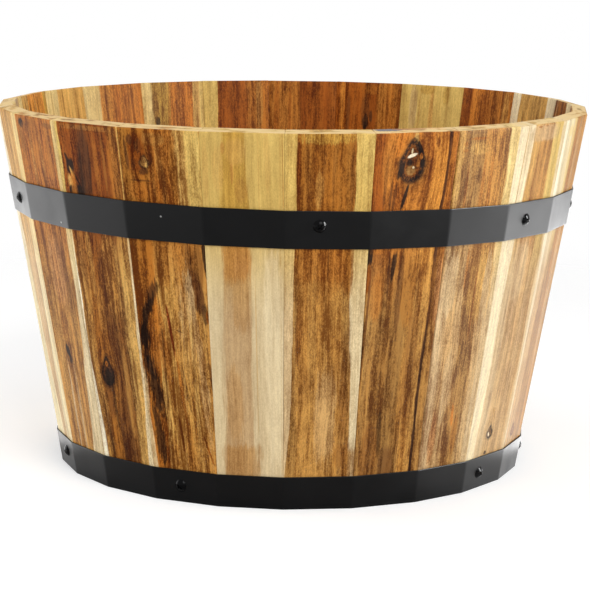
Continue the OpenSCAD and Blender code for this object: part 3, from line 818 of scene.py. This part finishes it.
def stave_rings(place, spacing):
    """Heights of a stave's rings with how far each is drawn in, and the croze's heights."""
    bottom = BASE_Z / math.cos(place.lean)
    roof = (BASE_Z + BASE_T + CROZE_PLAY) / math.cos(place.lean)
    rings = [(0.0, FOOT_ROUND), FOOT_POINT, (FOOT_ROUND, 0.0)]
    stops = [FOOT_ROUND, bottom - CROZE_EDGE, bottom, roof, roof + CROZE_EDGE,
             place.length - TOP_ROUND]
    for low, high in zip(stops, stops[1:]):
        count = max(1, round((high - low) / spacing))
        rings += [(low + (high - low) * (k + 1) / count, 0.0) for k in range(count)]
    for a in ARC:
        rings.append((place.length - TOP_ROUND * (1 - math.sin(a)),
                      TOP_ROUND * (1 - math.cos(a))))
    return rings, bottom, roof


def side_points(side, half_outer, half_inner, back, deep):
    """The corner, edge and inner corner of one side, from the outer face inwards."""
    span = STAVE_T - deep - INNER_ROUND
    offsets = [(-back * (1 - math.sin(a)), deep * (1 - math.cos(a))) for a in ARC]
    offsets += [(0.0, deep + span * k / 4) for k in (1, 2, 3)]
    offsets.append((0.0, STAVE_T - INNER_ROUND))
    offsets += [(-INNER_ROUND * (1 - math.sin(a)), STAVE_T - INNER_ROUND * (1 - math.cos(a)))
                for a in (ARC[1], ARC[0])]
    return [(side * (half_outer + (half_inner - half_outer) * d / STAVE_T + a), d)
            for a, d in offsets]


def worn_depth(board, across, up, seed):
    """How far dents and the plane's marks lower the outer face at a place."""
    loss = PLANE_MARKS * (1 + rough(across * PLANE_WAVES[0], up * PLANE_WAVES[1], seed))
    for dent in board.dents:
        far = ((across / MM - dent.x) / dent.rx) ** 2 + ((up / MM - dent.s) / dent.rs) ** 2
        ragged = 1 + 0.5 * rough(across * DENT_WAVES[0], up * DENT_WAVES[1], seed)
        loss += dent.depth * MM * ragged * math.exp(-far * far)
    return loss


def add_end(points, boards, ends, outer, inner, right_side, left_side):
    """Closes a section with rows of points between its outer and inner face."""
    lines = [outer]
    for r in range(1, END_ROWS):
        line = []
        for o, n in zip(outer, inner):
            line.append(len(points))
            for rows in (points, boards):
                a, b = np.array(rows[o]), np.array(rows[n])
                rows.append(tuple(a + (b - a) * r / END_ROWS))
            ends.append(1.0)
        lines.append(line)
    lines.append(inner)
    made = [(one[c], one[c + 1], two[c + 1], two[c])
            for one, two in zip(lines, lines[1:]) for c in range(len(outer) - 1)]
    right = [line[-1] for line in lines]
    left = [line[0] for line in lines]
    made.append(tuple([right[0]] + right_side + right[:0:-1]))
    made.append(tuple([left[-1]] + left_side + left[:-1]))
    return made


def stave_piece(i, board, columns, spacing):
    """One stave: rings of points up its slope, worn at its edges, and closed ends."""
    place, seed = places[i], SHAPE_SEED * i
    rings, croze_low, croze_high = stave_rings(place, spacing)
    top_drop = TOP_DROP * (1 + rough(i * 1.7, 0.3, 5.0))
    shares = np.linspace(-1, 1, columns)
    shares = np.sign(shares) * (1 - (1 - np.abs(shares)) ** CROWDING)
    middle = STAVE_T / 2
    points, boards, ends = [], [], []
    for up, drawn in rings:
        level = min(1.0, max(0.0, (SQUARE_FROM - up) / LEVEL_OVER))
        tilt = math.tan(place.lean) * level
        halves = (place.half_width(0.0, up), place.half_width(STAVE_T, up - STAVE_T * tilt))
        left = edge_loss(board, LEFT, up, seed)
        right = edge_loss(board, RIGHT, up, seed)
        low, high = -halves[0] + left[0], halves[0] - right[0]
        row = [((low + high) / 2 + (high - low) / 2 * f, 0.0) for f in shares]
        row += side_points(RIGHT, *halves, *right)
        row += [((halves[1] - INNER_ROUND) * f, STAVE_T) for f in shares[::-1]]
        row += side_points(LEFT, *halves, *left)[::-1]
        row = np.array(row)
        row[:, 0] *= 1 - min(drawn, MOST_ACROSS) / halves[0]
        row[:, 1] = middle + (row[:, 1] - middle) * (1 - drawn / middle)
        in_croze = croze_low - NEARLY < up < croze_high + NEARLY
        for across, deep in row:
            if in_croze:
                out = math.sqrt(CROZE_R ** 2 - across ** 2)
                face = (FOOT_R + FLARE * up * math.cos(place.lean)) * math.cos(place.half)
                deep = min(deep, (face - out) * math.cos(place.lean))
            if deep < OUTER_DEEP:
                deep += worn_depth(board, across, up, seed)
            height = up - deep * tilt
            height -= top_drop * max(0.0, up - DROP_FROM) / (HEIGHT - DROP_FROM)
            boards.append((across, deep, up))
            points.append((across, deep, height))
            ends.append(1.0 if drawn > CUT_DRAWN or up == 0.0 else 0.0)
    per_row = 2 * (columns + SIDE_POINTS)
    faces = grid_faces(len(rings), per_row)
    for first, flip in (((len(rings) - 1) * per_row, 1), (0, -1)):
        corners = [first, first + columns, first + columns + SIDE_POINTS,
                   first + per_row - SIDE_POINTS, first + per_row]
        outer, right_side, inner, left_side = [list(range(a, b))
                                               for a, b in zip(corners, corners[1:])]
        made = add_end(points, boards, ends, outer, inner[::-1], right_side, left_side)
        faces += [face[::flip] for face in made]
    world = place.world(*np.array(points).T)
    world[:, 2] = np.maximum(world[:, 2], 0.0)
    piece = new_piece(f"{stave_name(i)}_board", world, faces)
    mesh = piece.data
    mesh.attributes.new("board", "FLOAT_VECTOR", "POINT").data.foreach_set(
        "vector", np.array(boards, np.float32).ravel())
    mesh.attributes.new("end", "FLOAT", "POINT").data.foreach_set(
        "value", np.array(ends, np.float32))
    mesh.materials.append(stave_material(i, board))
    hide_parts(stave_name(i))


def new_piece(name, points, faces):
    """A smooth mesh with sharp corners that rides on the tub."""
    mesh = bpy.data.meshes.new(name)
    mesh.from_pydata([tuple(p) for p in points], [], [tuple(f) for f in faces])
    mesh.validate()
    mesh.shade_smooth()
    mesh.set_sharp_from_angle(angle=SHARP)
    piece = bpy.data.objects.new(name, mesh)
    bpy.context.scene.collection.objects.link(piece)
    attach(piece, "root")
    return piece


# ---------------------------------------------------------------- hoops

# The folds of a hoop: how far beside it the flat face ends, and how much it is softened
FOLD_BESIDE, FOLD_SOFT = 1.6 * MM, 0.10 * MM
FACE_STEPS = 6


def stave_after(i, steps=1):
    """The number of the stave some steps further round the tub."""
    return (i + steps - 1) % STAVE_COUNT + 1


def on_hoop(i, across, out, middle, half_height, tip, share):
    """A point of a hoop: face i moved out, across it, at a share of the hoop's width."""
    place = places[i]
    slope = math.tan(tip)
    face = FOOT_R * math.cos(place.half) + out / math.cos(place.lean)
    flare = FLARE * math.cos(place.half)
    z = middle + share * half_height / math.cos(tip)
    z -= slope * (face * math.sin(place.turn) + across * math.cos(place.turn))
    z /= 1 + slope * flare * math.sin(place.turn)
    return *place.turned(face + flare * z, across), z


def fold_across(i, j, out, z):
    """How far across face i its fold with face j lies, with both moved out."""
    a, b = places[i], places[j]
    apart = (b.turn - a.turn + math.pi) % (2 * math.pi) - math.pi
    near, far = [(FOOT_R + FLARE * z) * math.cos(p.half) + out / math.cos(p.lean)
                 for p in (a, b)]
    return (far - near * math.cos(apart)) / math.sin(apart)


def hoop_section():
    """The strip's section as (share of the width, share of the thickness) points."""
    arris_w, arris_t = 0.03, 0.30
    inner_w, inner_t = 0.98, 0.15
    rows = [0.8, 0.4, 0.0, -0.4, -0.8]
    arris = [(1 - arris_w * (1 - math.cos(a)), 1 - arris_t * (1 - math.sin(a)))
             for a in np.radians([0, 30, 60, 90])]
    section = arris + [(r, 1.0) for r in rows]
    section += [(-s, t) for s, t in arris[::-1]]
    section += [(-1.0, inner_t), (-inner_w, 0.0)]
    section += [(r, 0.0) for r in rows[::-1]]
    return section + [(inner_w, 0.0), (1.0, inner_t)]


def hoop_stations(middle):
    """Where a strip's section stands from end to end: the face, how far across it, how
    far it is lifted by the lap, and whether it is a fold."""
    layer = HOOP_T + LAP_GAP
    ring = [stave_after(LAP_STAVE, k) for k in range(STAVE_COUNT)]
    stations = []
    for i in ring:
        low = fold_across(i, stave_after(i, -1), 0.0, middle)
        high = fold_across(i, stave_after(i), 0.0, middle)
        start, stop = low + FOLD_BESIDE, high - FOLD_BESIDE
        if i == LAP_STAVE:
            lap_start = start
            start = -LAP_L / 2 + HOOP_T
        for k in range(FACE_STEPS + 1):
            stations.append((i, start + (stop - start) * k / FACE_STEPS, 0.0, False))
        stations.append((i, high, 0.0, True))
    lap = [(lap_start, 0.0), (-LAP_L / 2 - LAP_STEP, 0.0), (-LAP_L / 2, layer), (0.0, layer),
           (LAP_L / 2, layer)]
    return stations + [(LAP_STAVE, across, lift, False) for across, lift in lap]


def hoop_piece(name, z, width, tip):
    """One hoop: a strip folded at each joint that overlaps itself at the back."""
    height = width * math.cos(places[1].lean)
    middle = z + height / 2
    section = hoop_section()
    stations = hoop_stations(middle)
    points = []
    for i, across, lift, fold in stations:
        for share, thick in section:
            out = lift + HOOP_T * thick
            if fold:
                across = fold_across(i, stave_after(i), out, middle)
                out -= FOLD_SOFT * thick
            points.append(on_hoop(i, across, out, middle, height / 2, tip, share))
    faces = [face[::-1] for face in grid_faces(len(stations), len(section))]
    last = (len(stations) - 1) * len(section)
    faces.append(tuple(range(len(section))))
    faces.append(tuple(last + k for k in range(len(section)))[::-1])
    piece = new_piece(f"{name}_strap", points, faces)
    piece.data.materials.append(hoop_material)
    weighted = piece.modifiers.new("flat faces stay flat", "WEIGHTED_NORMAL")
    weighted.keep_sharp = True
    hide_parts(name)


def painted(name, roughness, ior, peel_bump, nicks=()):
    """Black paint on steel: a fine orange peel, with broad darker mottling, and small nicks
    at the given places, each a pale spot that is a painted highlight of its dent."""
    material, g, shader = new_material(name)
    where = g.scaled(g.on_object(), 1000.0)
    peel = g.noise(where, 1.0, 3, 0.6)
    cloud = g.noise(g.scaled(where, 0.03), 4.0, 4, 0.6)
    dark = tuple(c * 0.7 for c in linear(PAINT)[:3]) + (1.0,)
    colour = g.mix(g.steps(cloud, 0.35, 0.65), dark, linear(PAINT))
    # Each nick is painted pale: a painted highlight of a small dent in the paint
    for spot in nicks:
        apart = g.wire("ShaderNodeVectorMath", {0: where, 1: spot * 1000}, "Value",
                       operation="DISTANCE")
        colour = g.mix(g.steps(apart, *NICK_R), colour, linear(NICK))
    dull = roughness + (cloud - 0.5) * 0.26 + (peel - 0.5) * 0.06
    g.surface(shader, colour, dull, peel, peel_bump, PAINT_DEEP)
    shader.inputs["IOR"].default_value = ior
    return material


def zinc_plate():
    """Zinc plate on the batten screws."""
    material, g, shader = new_material("zinc_plate")
    cloud = g.noise(g.scaled(g.on_object(), ZINC_GRAIN), 2.0, 4, 0.6)
    colour = g.mix(g.steps(cloud, 0.35, 0.65), linear(ZINC_DARK), linear(ZINC_LIGHT))
    g.surface(shader, colour, 0.3 + cloud * 0.2, cloud, 0.2, PAINT_DEEP)
    shader.inputs["Metallic"].default_value = 1.0
    return material


def dress(name, material, arris):
    """Gives a CAD node its material and small rounded arrises."""
    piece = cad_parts[name]
    for slot in piece.material_slots:
        slot.material = material
    bevel = piece.modifiers.new("arris", "BEVEL")
    bevel.width = arris
    bevel.segments = 2
    bevel.limit_method = "ANGLE"
    bevel.angle_limit = SHARP


PAINT = (6, 6, 7)
PAINT_DEEP = 0.05 * MM
# The tone of a nick's painted highlight, and how far from its middle, in mm, it starts
# and is full
NICK, NICK_R = (150, 150, 148), (1.2, 0.5)
ZINC_GRAIN = 600.0
ZINC_DARK = (168, 172, 176)
ZINC_LIGHT = (206, 208, 206)
# The base's tones, light and dark: of its odd and even planks and of its battens
ODD_PLANK = ((196, 150, 96), (150, 98, 52))
EVEN_PLANK = ((186, 132, 78), (136, 86, 44))
BATTEN = ((204, 160, 104), (168, 116, 66))
# The nicks in the upper hoop's paint: the stave behind each, and its place on that stave
NICKS = ((20, 23.7, 258.6), (22, -2.7, 275.8))
SCREW_ARRIS, ZINC_ARRIS, PLANK_ARRIS, BATTEN_ARRIS = 0.12 * MM, 0.1 * MM, 0.6 * MM, 0.8 * MM
# How many columns of points a stave's face has, and how far apart its rings are
SEEN_GRID, HIDDEN_GRID = (25, 4 * MM), (13, 12 * MM)
# The staves of the front, which get the finer grid, go from one of these to the other
FIRST_SEEN, LAST_SEEN = 19, 5
PLANK_COUNT = 6

nicks = [Vector(places[i].world(across * MM, -HOOP_T, up * MM)) for i, across, up in NICKS]
hoop_material = painted("powder_coat", roughness=0.36, ior=1.255, peel_bump=0.3, nicks=nicks)
screw_material = painted("gloss_enamel", roughness=0.09, ior=1.17, peel_bump=0.02)

for number, board in BOARDS.items():
    seen = number >= FIRST_SEEN or number <= LAST_SEEN
    stave_piece(number, board, *(SEEN_GRID if seen else HIDDEN_GRID))

hoop_piece("upper_hoop", UPPER_HOOP_Z, UPPER_HOOP_W, UPPER_HOOP_TIP)
hoop_piece("lower_hoop", LOWER_HOOP_Z, LOWER_HOOP_W, 0.0)

for name in ("upper_hoop_screws", "lower_hoop_screws", "upper_hoop_rivets",
             "lower_hoop_rivets"):
    dress(name, screw_material, SCREW_ARRIS)
dress("batten_screws", zinc_plate(), ZINC_ARRIS)
for k in range(1, PLANK_COUNT + 1):
    tones = ODD_PLANK if k % 2 else EVEN_PLANK
    dress(f"base_plank_{k}", base_material(f"plank_{k}", *tones, 5.1 * k, True), PLANK_ARRIS)
for name, seed in (("batten_left", 41.0), ("batten_right", 52.0)):
    dress(name, base_material(name, *BATTEN, seed, False), BATTEN_ARRIS)

# ---------------------------------------------------------------- stage

FLOOR_R, FLOOR_SIDES = 6.0, 96
FLOOR_PAINT = (0.72, 0.72, 0.72, 1)
# How bright the floor glows to the camera, and where it fades into the background
FLOOR_GLOW, FLOOR_FADE = 0.42, (0.75, 1.6)
# Where the floor beside the tub turns white in reflections, as distances from the middle
FLOOR_POOL = (0.45, 0.8)
# The ring of floor that the lower hoop mirrors: its edges, where it starts to the right
# and to the left of the middle, and its share there
FLOOR_RING = (0.36, 0.27)
RING_RIGHT, RING_RIGHT_SHARE = (0.10, 0.21), 1.0
RING_LEFT, RING_LEFT_SHARE = (-0.17, -0.23), 0.3
WORLD_STRENGTH = 0.52
WHITE = (1, 1, 1, 1)
# A softbox stands at a turn in degrees, at a distance and height, and faces the tub
Softbox = namedtuple("Softbox", "turn distance height width tall radiance")
SPARK = Softbox(78, 1.7, 0.6, 0.45, 1.1, 62)
KEY = Softbox(24, 2.6, 1.9, 2.0, 1.6, 5.6)
SIDE_RIGHT = Softbox(86, 1.5, 0.5, 1.1, 0.9, 1.0)
SIDE_LEFT = Softbox(-104, 1.5, 0.5, 1.2, 1.0, 2.9)
# A lit panel of the table beside the tub: its side, where it starts and ends from the
# front to the back, and its radiance
Panel = namedtuple("Panel", "side near back radiance")
PANEL_RIGHT = Panel(RIGHT, -0.25, 0.85, 5.2)
PANEL_LEFT = Panel(LEFT, -0.1, 1.1, 2.2)
PANEL_W, PANEL_OUT, PANEL_Z = 0.9, 0.70, 4 * MM


def add_camera():
    """The photograph's camera."""
    data = bpy.data.cameras.new("camera")
    data.lens = CAMERA_LENS
    data.sensor_width = CAMERA_SENSOR
    data.clip_start, data.clip_end = CAMERA_CLIP
    camera = bpy.data.objects.new("camera", data)
    turned = (Matrix.Rotation(-CAMERA_YAW, 4, "Z")
              @ Matrix.Rotation(math.radians(90) - CAMERA_PITCH, 4, "X")
              @ Matrix.Rotation(CAMERA_ROLL, 4, "Z"))
    camera.matrix_world = Matrix.Translation(CAMERA_PLACE) @ turned
    bpy.context.scene.collection.objects.link(camera)
    bpy.context.scene.camera = camera


def empty_graph(holder):
    """The graph of a material or world, with no nodes in it."""
    holder.use_nodes = True
    holder.node_tree.nodes.clear()
    return Graph(holder.node_tree)


def add_floor():
    """A pale floor that fades into the white background and keeps a soft shadow."""
    bpy.ops.mesh.primitive_circle_add(vertices=FLOOR_SIDES, radius=FLOOR_R, fill_type="NGON")
    floor = bpy.context.object
    floor.name = "floor"
    material = bpy.data.materials.new("floor")
    g = empty_graph(material)
    path = g.wires("ShaderNodeLightPath")
    seen = path["Is Camera Ray"]
    mirrored = g.math("MAXIMUM", path["Is Glossy Ray"], path["Is Transmission Ray"])
    where = g.on_object()
    far = g.wire("ShaderNodeVectorMath", {0: where}, "Value", operation="LENGTH")
    x, _, _ = g.axes(where)
    ring = (g.steps(x, *RING_RIGHT, 0.0, RING_RIGHT_SHARE)
            + g.steps(x, *RING_LEFT, 0.0, RING_LEFT_SHARE))
    pool = g.steps(abs(x), *FLOOR_POOL) + ring * g.steps(far, *FLOOR_RING)
    light = seen * FLOOR_GLOW + mirrored * pool
    paint = g.wire("ShaderNodeBsdfDiffuse", {"Color": FLOOR_PAINT})
    glow = g.wire("ShaderNodeEmission", {"Color": WHITE, "Strength": light})
    both = g.wire("ShaderNodeAddShader", {0: paint, 1: glow})
    clear = g.wire("ShaderNodeBsdfTransparent")
    fade = g.steps(far, *FLOOR_FADE) * seen
    shown = g.wire("ShaderNodeMixShader", {0: fade, 1: both, 2: clear})
    g.node("ShaderNodeOutputMaterial", {"Surface": shown})
    floor.data.materials.append(material)


def add_world():
    """White where the camera or a reflection looks, and dimmer as a light."""
    world = bpy.data.worlds.new("studio")
    bpy.context.scene.world = world
    g = empty_graph(world)
    path = g.wires("ShaderNodeLightPath")
    seen = g.math("MAXIMUM", path["Is Camera Ray"], path["Is Glossy Ray"])
    seen = g.math("MAXIMUM", seen, path["Is Transmission Ray"])
    ambient = g.wire("ShaderNodeBackground", {"Color": WHITE, "Strength": WORLD_STRENGTH})
    white = g.wire("ShaderNodeBackground", {"Color": WHITE, "Strength": 1.0})
    both = g.wire("ShaderNodeMixShader", {0: seen, 1: ambient, 2: white})
    g.node("ShaderNodeOutputWorld", {"Surface": both})


def add_lamp(name, width, tall, radiance):
    """A rectangular light of a given radiance."""
    data = bpy.data.lights.new(name, "AREA")
    data.shape = "RECTANGLE"
    data.size, data.size_y = width, tall
    data.energy = radiance * math.pi * width * tall
    lamp = bpy.data.objects.new(name, data)
    bpy.context.scene.collection.objects.link(lamp)
    return lamp


def add_softbox(name, box):
    """A softbox that faces the tub's middle."""
    lamp = add_lamp(name, box.width, box.tall, box.radiance)
    turn = math.radians(box.turn)
    place = Vector((box.distance * math.sin(turn), -box.distance * math.cos(turn), box.height))
    lamp.location = place
    aim = Vector((0.0, 0.0, HEIGHT / 2)) - place
    lamp.rotation_euler = aim.to_track_quat("-Z", "Y").to_euler()
    return lamp


def add_panel(name, panel):
    """A lit panel of the table that only shows in gloss."""
    lamp = add_lamp(name, PANEL_W, panel.back - panel.near, panel.radiance)
    lamp.location = (panel.side * PANEL_OUT, (panel.near + panel.back) / 2, PANEL_Z)
    lamp.rotation_euler = (math.pi, 0, 0)
    lamp.visible_diffuse = False
    lamp.visible_camera = False


add_camera()
spark = add_softbox("spark", SPARK)
spark.visible_diffuse = False
add_panel("table_right", PANEL_RIGHT)
add_panel("table_left", PANEL_LEFT)
add_floor()
add_world()
add_softbox("key", KEY)
add_softbox("side_right", SIDE_RIGHT)
add_softbox("side_left", SIDE_LEFT)

bpy.context.scene.view_settings.view_transform = "Standard"
